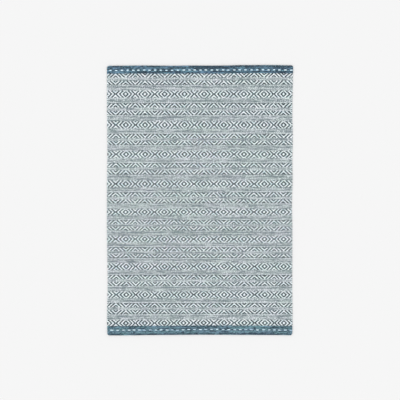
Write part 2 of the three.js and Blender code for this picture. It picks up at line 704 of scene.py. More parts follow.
class Signal:
    """A value, colour or vector on its way through a material's nodes."""

    def __init__(self, bench: "NodeBench", socket: bpy.types.NodeSocket) -> None:
        """Wraps an output socket of a node tree."""
        self.bench = bench
        self.socket = socket

    def _maths(self, operation: str, first: "Feed", second: "Feed") -> "Signal":
        """Adds a Math node."""
        return self.bench.signal("ShaderNodeMath", {"operation": operation}, {0: first, 1: second})

    def __add__(self, other: "Feed") -> "Signal":
        """Adds."""
        return self._maths("ADD", self, other)

    __radd__ = __add__

    def __sub__(self, other: "Feed") -> "Signal":
        """Subtracts."""
        return self._maths("SUBTRACT", self, other)

    def __rsub__(self, other: "Feed") -> "Signal":
        """Subtracts this from a number."""
        return self._maths("SUBTRACT", other, self)

    def __mul__(self, other: "Feed") -> "Signal":
        """Multiplies."""
        return self._maths("MULTIPLY", self, other)

    __rmul__ = __mul__

    def __mod__(self, other: "Feed") -> "Signal":
        """Takes the remainder, never under 0."""
        return self._maths("FLOORED_MODULO", self, other)

    def tinted(self, other: "Feed") -> "Signal":
        """This colour multiplied by another."""
        return self.bench.signal("ShaderNodeVectorMath", {"operation": "MULTIPLY"}, {0: self, 1: other})

    def below(self, other: "Feed") -> "Signal":
        """1 where this is under the other, else 0."""
        return self._maths("LESS_THAN", self, other)

    def rounded(self) -> "Signal":
        """The nearest whole number."""
        return self._maths("ROUND", self, 0.0)

    def size(self) -> "Signal":
        """The value without its sign."""
        return self._maths("ABSOLUTE", self, 0.0)

    def zigzag(self, reach: float) -> "Signal":
        """The value folded to and fro between 0 and a reach."""
        return self._maths("PINGPONG", self, reach)


Feed = Signal | float | Sequence[float]
Feeds = Mapping[int | str, Feed]
Settings = Mapping[str, Any]


class NodeBench:
    """Where one material's nodes are put together."""

    MIX_SHARE, MIX_ONE, MIX_TWO, MIX_RESULT = 0, 6, 7, 2
    NOISE_MIDDLE = 0.5
    WOOL_GLOSS = 0.25
    FUZZ_ROUGHNESS = 0.6

    def __init__(self, tree: bpy.types.NodeTree) -> None:
        """Starts on an empty node tree."""
        self.tree = tree
        tree.nodes.clear()

    def node(self, kind: str, settings: Settings, feeds: Feeds) -> bpy.types.Node:
        """Adds a node.

        Args:
            kind: The node's type.
            settings: What is set on the node first, such as its operation.
            feeds: Values or signals of its input sockets, by number or name.

        Returns:
            The new node.
        """
        made = self.tree.nodes.new(kind)
        for name, value in settings.items():
            setattr(made, name, value)
        for name, value in feeds.items():
            if isinstance(value, Signal):
                self.tree.links.new(value.socket, made.inputs[name])
            else:
                made.inputs[name].default_value = value
        return made

    def signal(self, kind: str, settings: Settings, feeds: Feeds, output: int | str = 0) -> Signal:
        """Adds a node and gives one of its outputs as a signal."""
        return Signal(self, self.node(kind, settings, feeds).outputs[output])

    def blend(self, share: Feed, one: Feed, two: Feed) -> Signal:
        """Blends two colours.

        Args:
            share: How much of the second colour there is, 0 to 1.
            one: The first colour.
            two: The second colour.

        Returns:
            The blended colour.
        """
        return self.signal(
            "ShaderNodeMix",
            {"data_type": "RGBA", "clamp_factor": True},
            {self.MIX_SHARE: share, self.MIX_ONE: one, self.MIX_TWO: two},
            self.MIX_RESULT,
        )

    def attribute(self, name: str) -> Signal:
        """Reads a value that the mesh holds."""
        return self.signal("ShaderNodeAttribute", {"attribute_name": name}, {}, "Fac")

    def place(self) -> Signal:
        """The point of the surface, in metres."""
        return self.signal("ShaderNodeTexCoord", {}, {}, "Object")

    def noise(self, place: Signal, grain: Sequence[float], detail: float = 2.0) -> Signal:
        """Reads a cloudy noise.

        Args:
            place: The point of the surface.
            grain: How many clouds there are to a metre along X, Y and Z.
            detail: How many finer layers it has.

        Returns:
            A value about NOISE_MIDDLE.
        """
        feeds = {"Vector": place.tinted(grain), "Scale": 1.0, "Detail": detail}
        return self.signal("ShaderNodeTexNoise", {}, feeds, "Fac")

    def end_in(self, kind: str, shader: bpy.types.Node) -> None:
        """Ends the tree.

        Args:
            kind: Type of the output node.
            shader: The node whose first output goes into its surface.
        """
        end = self.node(kind, {}, {})
        self.tree.links.new(shader.outputs[0], end.inputs["Surface"])

    def end_in_wool(self, colour: Feed, rough: Feed, relief: Signal, bump: float, sheen: float) -> None:
        """Ends the tree in a wool surface.

        Args:
            colour: Base colour.
            rough: Roughness.
            relief: Height of the fine relief, about 0 to 1.
            bump: Depth of the relief, in metres.
            sheen: Weight of the fuzz's sheen.
        """
        raised = {"Strength": 1.0, "Distance": bump, "Height": relief}
        surface = {
            "Base Color": colour,
            "Roughness": rough,
            "Normal": self.signal("ShaderNodeBump", {}, raised, "Normal"),
            "Specular IOR Level": self.WOOL_GLOSS,
            "Sheen Weight": sheen,
            "Sheen Roughness": self.FUZZ_ROUGHNESS,
        }
        self.end_in("ShaderNodeOutputMaterial", self.node("ShaderNodeBsdfPrincipled", {}, surface))


def new_bench(name: str) -> tuple[bpy.types.Material, NodeBench]:
    """Starts a material.

    Args:
        name: Its name.

    Returns:
        The material, and the bench for its nodes.
    """
    material = bpy.data.materials.new(name)
    material.use_nodes = True
    return material, NodeBench(material.node_tree)


@dataclass(frozen=True)
class WoolFinish:
    """Spun wool: every float has its own tone and hue, with fibres and flecks along the yarn."""

    name: str
    deep: Colour
    pale: Colour
    fleck: Colour
    green_cast: Colour = (0.97, 1.02, 0.99)
    violet_cast: Colour = (1.02, 0.98, 1.04)
    fleck_share: float = 0.3
    fleck_start: float = 0.55
    fleck_sharpness: float = 6.0
    fibre_share: float = 0.4
    fibre_layers: float = 3.0
    roughness: float = 0.8
    roughness_spread: float = 0.3
    bump: float = 0.00025
    sheen: float = 0.15
    fibre_grain: tuple[float, float, float] = (160.0, 1300.0, 1300.0)
    fleck_grain: tuple[float, float, float] = (90.0, 420.0, 420.0)

    def material(self) -> bpy.types.Material:
        """Makes the material.

        Returns:
            The wool as a material that reads the attributes tone and hue.
        """
        material, bench = new_bench(self.name)
        place = bench.place()
        fibres = bench.noise(place, self.fibre_grain, self.fibre_layers)
        flecks = bench.noise(place, self.fleck_grain)
        tone = bench.attribute("tone") + (fibres - bench.NOISE_MIDDLE) * self.fibre_share
        dyed = bench.blend(tone, linear(self.deep), linear(self.pale))
        fleck_share = (flecks - self.fleck_start) * self.fleck_sharpness * self.fleck_share
        flecked = bench.blend(fleck_share, dyed, linear(self.fleck))
        cast = bench.blend(bench.attribute("hue"), (*self.green_cast, 1.0), (*self.violet_cast, 1.0))
        rough = self.roughness + (fibres - bench.NOISE_MIDDLE) * self.roughness_spread
        bench.end_in_wool(flecked.tinted(cast), rough, fibres, self.bump, self.sheen)
        return material


@dataclass(frozen=True)
class GroundFinish:
    """The ground cloth: the reverse of the weave below, and painted shade on its top between the floats
    above.
    """

    name: str
    heather: Colour
    heather_deep: Colour
    white: Colour
    slate: Colour
    hem: Colour
    # painted shade: the dark colour of the ground's top where it shows between the floats
    gap: Colour
    draft: Draft
    fibre_share: float = 0.5
    fibre_layers: float = 3.0
    roughness: float = 0.9
    fibre_relief: float = 0.4
    bead_relief: float = 0.5
    bump: float = 0.0004
    sheen: float = 0.1
    fibre_grain: tuple[float, float, float] = (150.0, 1200.0, 1200.0)
    streak_grain: tuple[float, float, float] = (28.0, 260.0, 260.0)
    float_repeat: float = 2.0

    def material(self) -> bpy.types.Material:
        """Makes the material.

        Returns:
            The ground as a material that reads the attributes ends, step, slope, hem and painted_shade_top,
            the last marking the top face that takes the painted shade.
        """
        material, bench = new_bench(self.name)
        place = bench.place()
        fibres = bench.noise(place, self.fibre_grain, self.fibre_layers)
        streaks = bench.noise(place, self.streak_grain)
        heather_share = streaks + (fibres - bench.NOISE_MIDDLE) * self.fibre_share
        heather = bench.blend(heather_share, linear(self.heather_deep), linear(self.heather))
        slope = bench.attribute("slope").rounded()
        step = bench.attribute("step").rounded()
        ends = bench.attribute("ends")
        half = self.draft.column_ends / 2
        turn = ((ends - float(self.draft.first_column)).size().zigzag(half) - 0.5).rounded()
        chart = turn + slope * (step + 0.5) + 0.5
        under = (chart % float(self.draft.twill_repeat)).below(self.draft.white_ends - 0.5)
        twill = bench.blend(under, linear(self.white), linear(self.slate))
        field_cloth = bench.blend(slope.size(), heather, twill)
        # painted shade: the top face, between the floats, is coloured dark to stand in for the shade there
        shaded = bench.blend(bench.attribute("painted_shade_top").rounded(), field_cloth, linear(self.gap))
        colour = bench.blend(bench.attribute("hem").rounded(), shaded, linear(self.hem))
        beads = ((ends + step) % self.float_repeat - self.float_repeat / 2).size()
        relief = fibres * self.fibre_relief - beads * self.bead_relief
        bench.end_in_wool(colour, self.roughness, relief, self.bump, self.sheen)
        return material


class Station(NamedTuple):
    """One section of the ground cloth.

    Its place along the rug, the height of its underside and of its top, the step and slope of its pick,
    and 1 in a hem.
    """

    y: float
    low: float
    high: float
    step: float
    slope: float
    hem: float


@dataclass(frozen=True)
class GroundCloth:
    """The closed ground of the rug: what the floats lie on, the turned ends and the ribbed underside."""

    plan: RugPlan
    draft: Draft
    finish: GroundFinish
    under_floats: float = 0.0013
    groove: float = 0.0005
    side_inset: float = 0.0016
    side_heights: tuple[float, float] = (0.7, 0.3)
    top_inset: float = 0.0040
    top_columns: int = 4
    under_columns: int = 24
    first_line: float = 0.005
    hem_margin: float = 0.006
    top_strip: float = 0.10
    underside_from: float = 0.12
    fold: tuple[tuple[float, float, float], ...] = (
        (1.4, 0.36, 0.64),
        (2.0, 0.20, 0.76),
        (3.4, 0.06, 0.84),
    )

    def hem_stations(self, end: End) -> list[Station]:
        """Sections of one hem, two to a line of its weave.

        Args:
            end: The end of the rug.

        Returns:
            The sections, from the fold to the field.
        """
        half, thick = self.plan.length / 2, self.plan.hem_thickness
        crest = thick - self.under_floats
        pitch = self.draft.hem_pitch
        made = []
        for depth, low, high in self.fold:
            made.append(Station(end.value * (half - depth * MM), low * thick, high * thick, 0.0, 0.0, 1.0))
        lines = int((self.plan.hem(end) - self.hem_margin) / pitch)
        for line in range(2 * lines):
            low = self.groove * (line % 2)
            depth = self.first_line + line * pitch / 2
            made.append(Station(end.value * (half - depth), low, crest - low, line / 2, 0.0, 1.0))
        return made

    def stations(self) -> list[Station]:
        """Sections along the whole rug, two to a pick.

        Returns:
            The sections, from the head to the foot.
        """
        middle = []
        for pick in self.draft.picks:
            top = pick.crest - self.under_floats
            middle.append(Station(pick.y, 0.0, top, pick.step, pick.slope, 0.0))
            edge = pick.y - pick.pitch / 2
            middle.append(Station(edge, self.groove, top - self.groove, pick.step + 0.5, pick.slope, 0.0))
        return self.hem_stations(End.TOP) + middle + self.hem_stations(End.BOTTOM)[::-1]

    def ring(self) -> tuple[Numbers, Numbers, Numbers]:
        """One section's outline, from the top left round the right side and back underneath.

        Returns:
            For each point its share across, its inset and its share of the height.
        """
        top = [(share, self.top_inset, 1.0) for share in np.linspace(0, 1, self.top_columns + 1)]
        right = [(1.0, self.side_inset, height) for height in self.side_heights]
        under = [(share, self.top_inset, 0.0) for share in np.linspace(1, 0, self.under_columns + 1)]
        left = [(0.0, self.side_inset, height) for height in self.side_heights[::-1]]
        table = np.array(top + right + under + left)
        return table[:, 0], table[:, 1], table[:, 2]

    def layout(self, points: Numbers, height: Numbers) -> Numbers:
        """Gives map coordinates with the hidden top in a narrow strip and the underside in the rest.

        Args:
            points: Vertices, one row each.
            height: Their shares of the height.

        Returns:
            The map coordinates of each vertex.
        """
        flat = flat_map(points)
        underside = self.underside_from + (1 - self.underside_from) * flat[:, 0]
        flat[:, 0] = np.where(height < 0.5, underside, self.top_strip * flat[:, 0])
        return flat

    def build(self) -> bpy.types.Object:
        """Builds the ground cloth as one closed skin.

        Returns:
            The new object.
        """
        share, inset, height = self.ring()
        y, low, high, step, slope, hem = np.array(self.stations()).T[:, :, None]
        side = self.plan.width / 2 - inset
        x, y = np.broadcast_arrays(-side + 2 * side * share, y)
        rings, corners = y.shape
        z = low + (high - low) * height
        points = np.stack([*self.plan.lay(x, y), z], axis=2).reshape(-1, 3)
        closing = [points[:corners].mean(0), points[-corners:].mean(0)]
        skin = np.concatenate([points, closing])
        values = {
            "ends": x / self.draft.end_pitch + self.draft.ends / 2,
            "step": step,
            "slope": slope,
            "hem": hem,
            # 1 on the top face, which takes the painted shade between the floats
            "painted_shade_top": np.where(height > 0.5, 1.0, 0.0),
        }
        attributes = {}
        for name, value in values.items():
            spread = np.broadcast_to(value, y.shape)
            attributes[name] = np.append(spread.ravel(), [spread[0, 0], spread[-1, 0]])
        layout = self.layout(skin, np.append(np.tile(height, rings), [1.0, 1.0]))
        faces = skin_faces(rings, corners)[:, ::-1]
        return make_mesh("woven_cloth", skin, faces, attributes, self.finish.material(), layout)


@dataclass(frozen=True)
class FieldTones:
    """Light and dark of the field's wools, as even or cloudy as the yarn was spun."""

    flecks: Drift = Drift(seed=3, across=0.011, along=0.0043, stepped=True)
    streaks: Drift = Drift(seed=8, across=0.060, along=0.0043, stepped=True)
    clouds: Drift = Drift(seed=4, across=0.140, along=0.013)
    fading: Drift = Drift(seed=5, across=0.040, along=0.007)
    hues: Drift = Drift(seed=6, across=0.030, along=0.013)
    wide_hues: Drift = Drift(seed=9, across=0.150, along=0.060)
    seed: int = 7
    heather_middle: float = 0.5
    fleck_depth: float = 0.46
    streak_depth: float = 0.42
    cloud_depth: float = 0.08
    pick_depth: float = 0.10
    own_depth: float = 0.12
    white_middle: float = 0.66
    white_fading: float = 0.30
    white_own: float = 0.22
    slate_middle: float = 0.38
    slate_fading: float = 0.45
    slate_own: float = 0.24
    slate_outward: float = 0.25
    hue_depth: float = 0.34
    wide_hue_depth: float = 0.26
    pales: tuple[tuple[Band, float], ...] = (
        (Band.GLEAM, 0.22),
        (Band.DUSK, -0.34),
        (Band.SHADOW, -0.20),
    )

    def pale(self, band: Band) -> float:
        """How much lighter than the plain picks a band's picks are."""
        return dict(self.pales).get(band, 0.0)

    def tones(self, yarn: Counts, x: Numbers, y: Numbers, rank: Numbers, pale: Numbers) -> Numbers:
        """Tones of floats.

        Args:
            yarn: The yarn of each float.
            x: Where it lies across the rug.
            y: Where it lies along the rug.
            rank: How far out in its chevron band it lies, 0 to 1.
            pale: Shift of the tone that its pick brings.

        Returns:
            A tone for each float, about 0 to 1.
        """
        own = np.random.default_rng(self.seed).normal(0, 1, len(x))
        fading = self.fading.at(x, y)
        mottle = self.fleck_depth * self.flecks.at(x, y) + self.streak_depth * self.streaks.at(x, y)
        clouds = self.cloud_depth * self.clouds.at(x, y)
        heather = self.heather_middle + mottle + clouds + self.own_depth * own + pale
        white = self.white_middle + self.white_fading * fading + self.white_own * own
        slate = self.slate_middle + self.slate_fading * fading + self.slate_own * own
        slate = slate - self.slate_outward * (rank - 0.5) + pale
        return np.choose(yarn, [heather, white, slate])

    def hue(self, x: Numbers, y: Numbers) -> Numbers:
        """Green to violet casts of the yarn, 0 to 1, at places on the rug."""
        return EVEN_HUE + self.hue_depth * self.hues.at(x, y) + self.wide_hue_depth * self.wide_hues.at(x, y)


@dataclass(frozen=True)
class WovenField:
    """The field between the hems: a row of floats for each pick, in three wools."""

    plan: RugPlan
    draft: Draft
    wools: Mapping[Yarn, WoolFinish]
    tones: FieldTones = FieldTones()
    form: FloatShape = FloatShape()
    hand: HandOfYarn = HandOfYarn()
    plain_lengths: tuple[int, ...] = (2, 2, 3)
    seed: int = 21

    def plain_breaks(self, random: np.random.Generator) -> Counts:
        """Cuts a plain pick into floats.

        Args:
            random: Source of the uneven lengths.

        Returns:
            The counts of ends where floats begin and end.
        """
        lengths = random.choice(self.plain_lengths, self.draft.ends)
        breaks = np.cumsum(lengths) - random.integers(0, max(self.plain_lengths))
        return np.concatenate([[0], breaks[(breaks > 0) & (breaks < self.draft.ends)], [self.draft.ends]])

    def runs(self, pick: Pick, random: np.random.Generator) -> tuple[Counts, Counts]:
        """Cuts a pick into floats.

        Args:
            pick: The pick.
            random: Source of the uneven lengths of plain floats.

        Returns:
            The counts of ends where floats begin and end, one more than there are floats, and the yarn
            of each float.
        """
        if pick.slope == 0:
            breaks = self.plain_breaks(random)
            return breaks, np.full(len(breaks) - 1, Yarn.HEATHER.value)
        lifted = self.draft.lifts(pick, np.arange(self.draft.ends))
        breaks = np.concatenate([[0], np.flatnonzero(np.diff(lifted)) + 1, [self.draft.ends]])
        first = Yarn.HEATHER if pick.band is Band.SHADOW else Yarn.WHITE
        return breaks, np.where(lifted[breaks[:-1]], first.value, Yarn.SLATE.value)

    def floats(self) -> tuple[Floats, Counts]:
        """Lays every float of the field.

        Returns:
            The floats, and the yarn of each.
        """
        random = np.random.default_rng(self.seed)
        rows: list[Numbers] = []
        yarns: list[Counts] = []
        twill_picks = self.draft.shadow_at - self.draft.chevron_from
        for pick in self.draft.picks:
            breaks, yarn = self.runs(pick, random)
            rank = (pick.step - self.draft.chevron_from) / twill_picks if pick.slope < 0 else 0.5
            pale = self.tones.pale(pick.band) + random.normal(0, self.tones.pick_depth)
            facts = [pick.y, pick.pitch, pick.crest, rank, pale]
            rows.append(np.column_stack([breaks[:-1], breaks[1:], np.tile(facts, (len(yarn), 1))]))
            yarns.append(yarn)
        start, stop, y, pitch, crest, rank, pale = np.concatenate(rows).T
        yarn = np.concatenate(yarns)
        centre, along, half = self.draft.stretch(start, stop, y, crest)
        tone = self.tones.tones(yarn, centre[:, 0], centre[:, 1], rank, pale)
        hue = self.tones.hue(centre[:, 0], centre[:, 1])
        up = np.tile(UP, (len(half), 1))
        laid = Floats(centre, along, up, half, self.form.fullness * pitch, tone, hue)
        return self.hand.loosen(laid), yarn

    def build(self) -> list[tuple[bpy.types.Object, Yarn]]:
        """Builds the field's floats, the heather in two halves.

        Returns:
            The new objects, with the yarn of each.
        """
        floats, yarn = self.floats()
        heather = yarn == Yarn.HEATHER.value
        upper = floats.centre[:, 1] > 0
        parts = (
            ("heather_picks_head", Yarn.HEATHER, heather & upper),
            ("heather_picks_foot", Yarn.HEATHER, heather & ~upper),
            ("white_twill_picks", Yarn.WHITE, yarn == Yarn.WHITE.value),
            ("slate_twill_picks", Yarn.SLATE, yarn == Yarn.SLATE.value),
        )
        materials = {wool: finish.material() for wool, finish in self.wools.items()}
        made = []
        for name, wool, chosen in parts:
            shapes = ClosedShapes()
            self.form.add(floats.only(chosen), shapes)
            made.append((shapes.make(name, materials[wool]), wool))
        return made


@dataclass(frozen=True)
class LoopShape:
    """The form of one yarn loop: a bead bent from the top of the rug round its edge to the underside."""

    reach: float = 0.0105
    thickness: float = 0.0016
    fullness: float = 0.60
    path: tuple[tuple[float, float], ...] = (
        (1.00, 0.80),
        (0.62, 0.99),
        (0.16, 0.90),
        (0.00, 0.50),
        (0.14, 0.12),
        (0.62, 0.01),
        (1.00, 0.20),
    )

    @property
    def faces(self) -> Counts:
        """Triangles of a loop.

        Returns:
            Those of a tip, of three-cornered sections and of a tip, as corner numbers.
        """
        sections = len(self.path) - 2
        last = 3 * sections + 1
        made = [(0, 2, 1), (0, 3, 2), (0, 1, 3)]
        for section in range(sections - 1):
            here = 3 * section + 1
            for one, two in ((0, 1), (1, 2), (2, 0)):
                a, b, c, d = here + one, here + 3 + one, here + 3 + two, here + two
                made += [(a, c, b), (a, d, c)]
        end = last - 3
        made += [(last, end, end + 1), (last, end + 1, end + 2), (last, end + 2, end)]
        return np.array(made)

    def corners(self, edge: Numbers, y: Numbers, top: Numbers, outward: int, wide: Numbers) -> Numbers:
        """Gives the corners of loops.

        Args:
            edge: X of the rug's side at each loop.
            y: Y of each loop.
            top: Height of the cloth there.
            outward: 1 on the right side and -1 on the left one.
            wide: Half widths of the loops along Y.

        Returns:
            Corners, shaped loops by corners by 3.
        """
        path = np.array(self.path)
        inset, height = path[:, 0] * self.reach, path[:, 1]
        x = edge[:, None] - outward * inset
        y = np.broadcast_to(y[:, None], x.shape)
        z = top[:, None] * height
        ahead_x, ahead_z = np.gradient(x, axis=1), np.gradient(z, axis=1)
        size = np.hypot(ahead_x, ahead_z)
        in_x, in_z = outward * ahead_z / size, -outward * ahead_x / size
        crest = np.stack([x, y, z], 2)
        inner = np.stack([x + self.thickness * in_x, y, z + self.thickness * in_z], 2)
        sideways = np.array([0.0, outward, 0.0]) * wide[:, None, None]
        sections = np.stack([inner + sideways, crest, inner - sideways], 2)[:, 1:-1]
        return np.concatenate([crest[:, :1], sections.reshape(len(edge), -1, 3), crest[:, -1:]], axis=1)


@dataclass(frozen=True)
class LoopRow:
    """A row of loops along one side of the rug, as uneven as hands leave it."""

    plan: RugPlan
    pitch: float
    middle_tone: float
    own_depth: float
    height_spread: float = 0.0
    edge_inset: float = 0.0003
    edge_spread: float = 0.0003
    form: LoopShape = LoopShape()

    def add(
        self, shapes: ClosedShapes, outward: int, y: Numbers, top: Numbers, random: np.random.Generator
    ) -> None:
        """Adds the loops to a mesh in the making.

        Args:
            shapes: The mesh in the making.
            outward: 1 on the right side and -1 on the left one.
            y: Places of the loops along the straight cloth.
            top: Height of the cloth at each.
            random: Source of their unevenness.
        """
        count = len(y)
        x, laid_y = self.plan.lay(np.full(count, outward * self.plan.width / 2), y)
        edge = x + outward * random.normal(-self.edge_inset, self.edge_spread, count)
        if self.height_spread > 0:
            top = top * (1 + random.normal(0, self.height_spread, count))
        wide = np.full(count, self.form.fullness * self.pitch)
        corners = self.form.corners(edge, laid_y, top, outward, wide)
        tone = self.middle_tone + random.normal(0, self.own_depth, count)
        shapes.add(corners, self.form.faces, tone, np.full(count, EVEN_HUE))


@dataclass(frozen=True)
class Selvedges:
    """The two long sides, where each shuttle turns back round the outer warp ends."""

    plan: RugPlan
    draft: Draft
    wools: Mapping[Yarn, WoolFinish]
    loop_pitch: float = 0.0033
    loops_to_a_turn: int = 2
    middle_tones: tuple[tuple[Yarn, float], ...] = ((Yarn.WHITE, 0.55), (Yarn.SLATE, 0.10))
    own_depth: float = 0.16
    height_spread: float = 0.02
    seed: int = 31

    def loops(self, wool: Yarn, middle_tone: float) -> ClosedShapes:
        """Lays the loops of one wool on both sides, where the shuttles take turns.

        Args:
            wool: The wool.
            middle_tone: Middle of its loops' tones.

        Returns:
            The mesh in the making. The right side's turns come one later than the left side's.
        """
        shapes = ClosedShapes()
        random = np.random.default_rng(self.seed + wool.value)
        row = LoopRow(self.plan, self.loop_pitch, middle_tone, self.own_depth, self.height_spread)
        shuttles = [yarn for yarn, _ in self.middle_tones]
        picks = self.draft.picks[::-1]
        crests = [pick.y for pick in picks], [pick.crest for pick in picks]
        places = np.arange(picks[0].y, picks[-1].y, self.loop_pitch)
        for outward, late in ((-1, 0), (1, 1)):
            turns = (np.arange(len(places)) // self.loops_to_a_turn + late) % len(shuttles)
            y = places[turns == shuttles.index(wool)]
            row.add(shapes, outward, y, np.interp(y, *crests), random)
        return shapes

    def build(self) -> list[tuple[bpy.types.Object, Yarn]]:
        """Builds the loops of both wools.

        Returns:
            The new objects, with the yarn of each.
        """
        made = []
        for wool, middle_tone in self.middle_tones:
            name = f"selvedge_turns_{wool.name.lower()}"
            made.append((self.loops(wool, middle_tone).make(name, self.wools[wool].material()), wool))
        return made


@dataclass(frozen=True)
class TurnedEnd:
    """One end of the rug: the blue end web, turned under, with its picks over the fold."""

    plan: RugPlan
    draft: Draft
    end: End
    wool: WoolFinish
    middle_tone: float
    fold_shade: float
    form: FloatShape = FloatShape(depth=0.0014, fullness=0.58)
    hand: HandOfYarn = HandOfYarn(seed=60, height=0.0002, width_share=0.1)
    streaks: Drift = Drift(seed=41, across=0.015, along=0.0068, stepped=True)
    long_streaks: Drift = Drift(seed=42, across=0.080, along=0.0068, stepped=True)
    hues: Drift = Drift(seed=43, across=0.055, along=0.010)
    fold_rows: tuple[tuple[float, float, float], ...] = (
        (0.7, 0.31, 112.0),
        (0.0, 0.48, 94.0),
        (0.2, 0.70, 68.0),
        (1.0, 0.91, 38.0),
        (3.3, 0.99, 14.0),
    )
    first_flat_row: float = 0.0064
    first_loop: float = 0.004
    float_ends: int = 2
    fold_depth: float = 0.012
    streak_depth: float = 0.46
    long_streak_depth: float = 0.52
    own_depth: float = 0.22
    hue_depth: float = 0.5
    loop_tone: float = 0.3
    loop_own_depth: float = 0.15
    seed: int = 50

    def rows(self) -> Iterator[tuple[float, float, float]]:
        """The picks of the hem, from under the fold up over it to the field.

        Yields:
            The depth from the end of the rug, the height of the crest and the tilt in radians.
        """
        for depth, height, tilt in self.fold_rows:
            yield depth * MM, height * self.plan.hem_thickness, math.radians(tilt)
        hem, pitch = self.plan.hem(self.end), self.draft.hem_pitch
        count = round((hem - self.first_flat_row) / pitch)
        for depth in np.linspace(self.first_flat_row, hem - pitch / 2, count):
            yield float(depth), self.plan.hem_thickness, 0.0

    def tones(self, x: Numbers, y: Numbers, random: np.random.Generator) -> Numbers:
        """Mottled light and dark of the end web, in short and long streaks along its picks.

        Args:
            x: Where its floats lie across the rug.
            y: Where they lie along the rug.
            random: Source of each float's own tone.

        Returns:
            A tone for each float.
        """
        mottle = self.streak_depth * self.streaks.at(x, y)
        mottle = mottle + self.long_streak_depth * self.long_streaks.at(x, y)
        return self.middle_tone + mottle + random.normal(0, self.own_depth, len(x))

    def side_loops(self, shapes: ClosedShapes, random: np.random.Generator) -> None:
        """Adds the loops at both sides of the hem.

        Args:
            shapes: The mesh in the making.
            random: Source of their unevenness.
        """
        pitch = self.draft.hem_pitch
        row = LoopRow(self.plan, pitch, self.loop_tone, self.loop_own_depth)
        depth = np.arange(self.first_loop, self.plan.hem(self.end) - pitch / 2, pitch)
        y = self.end.value * (self.plan.length / 2 - depth)
        for outward in (-1, 1):
            row.add(shapes, outward, y, np.full(len(y), self.plan.hem_thickness), random)

    def build(self) -> bpy.types.Object:
        """Builds the hem's floats and its side loops.

        Returns:
            The new object.
        """
        sign = self.end.value
        random = np.random.default_rng(self.seed + sign)
        rows = []
        for number, facts in enumerate(self.rows()):
            breaks = np.arange(number % self.float_ends, self.draft.ends + 1, self.float_ends)
            breaks = np.unique([0, *breaks, self.draft.ends])
            rows.append(np.column_stack([breaks[:-1], breaks[1:], np.tile(facts, (len(breaks) - 1, 1))]))
        start, stop, depth, height, tilt = np.concatenate(rows).T
        place = sign * (self.plan.length / 2 - depth)
        centre, along, half = self.draft.stretch(start, stop, place, height)
        up = np.stack([np.zeros_like(tilt), sign * np.sin(tilt), np.cos(tilt)], 1)
        tone = self.tones(centre[:, 0], centre[:, 1], random)
        tone -= np.where(depth < self.fold_depth, self.fold_shade, 0.0)
        hue = EVEN_HUE + self.hue_depth * self.hues.at(centre[:, 0], centre[:, 1])
        wide = np.full(len(half), self.form.fullness * self.draft.hem_pitch)
        hand = replace(self.hand, seed=self.hand.seed + sign)
        shapes = ClosedShapes()
        self.form.add(hand.loosen(Floats(centre, along, up, half, wide, tone, hue)), shapes)
        self.side_loops(shapes, random)
        return shapes.make(f"{self.end.name.lower()}_hem_web", self.wool.material())


